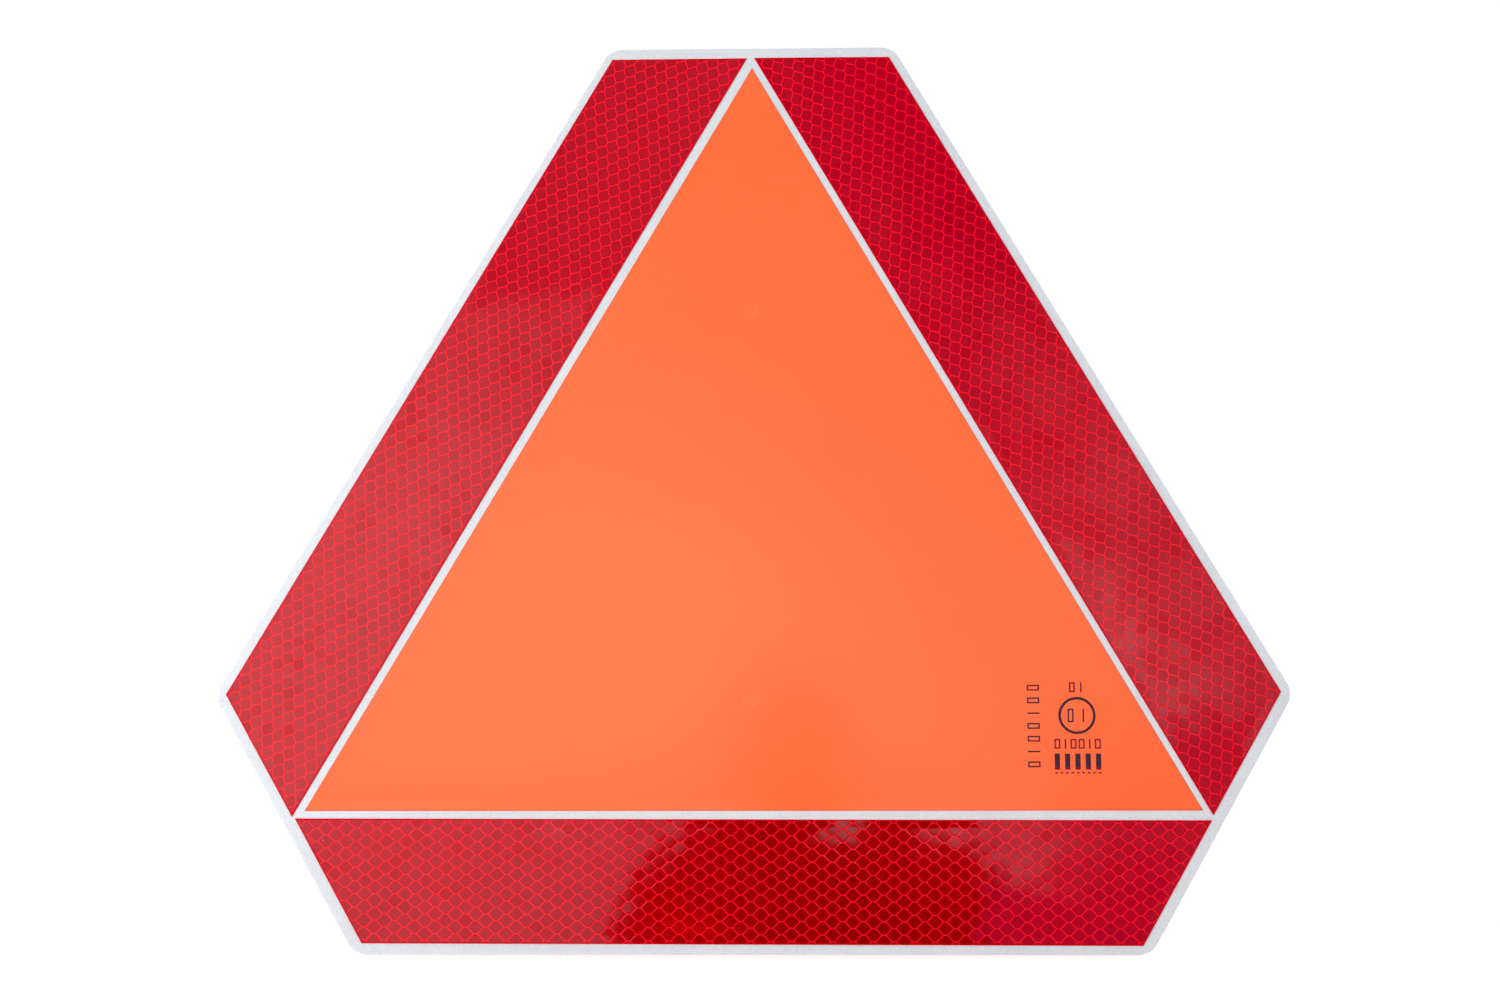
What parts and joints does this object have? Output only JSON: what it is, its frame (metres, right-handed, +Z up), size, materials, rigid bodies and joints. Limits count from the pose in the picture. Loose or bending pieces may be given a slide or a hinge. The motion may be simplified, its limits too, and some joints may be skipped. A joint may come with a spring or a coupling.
{
  "type": "slow vehicle rear marking plate",
  "caption": "Flat metal triangle with cut-off rounded corners, faced with an orange film panel, three red reflective film strips and small printed marks, with blind mounting holes.",
  "frame": {"origin": "on the rear face of the plate, midway between the two mounting holes", "axes": "+X to the right as the front is read, +Z up towards the tip of the orange panel, the front faces -Y and the rear +Y"},
  "size_m": [0.4208, 0.0019, 0.3667],
  "materials": {
    "aluminium": "fine satin, bare sheet",
    "orange_film": "smooth fluorescent film",
    "red_film": "clear-faced reflective film with a lattice of seal lines",
    "ink": "thin dark print"
  },
  "bodies": {
    "root": {"backing_plate": "aluminium", "orange_panel": "orange_film", "left_strip": "red_film", "right_strip": "red_film", "bottom_strip": "red_film", "printed_marks": "ink"}
  },
  "joints": []
}
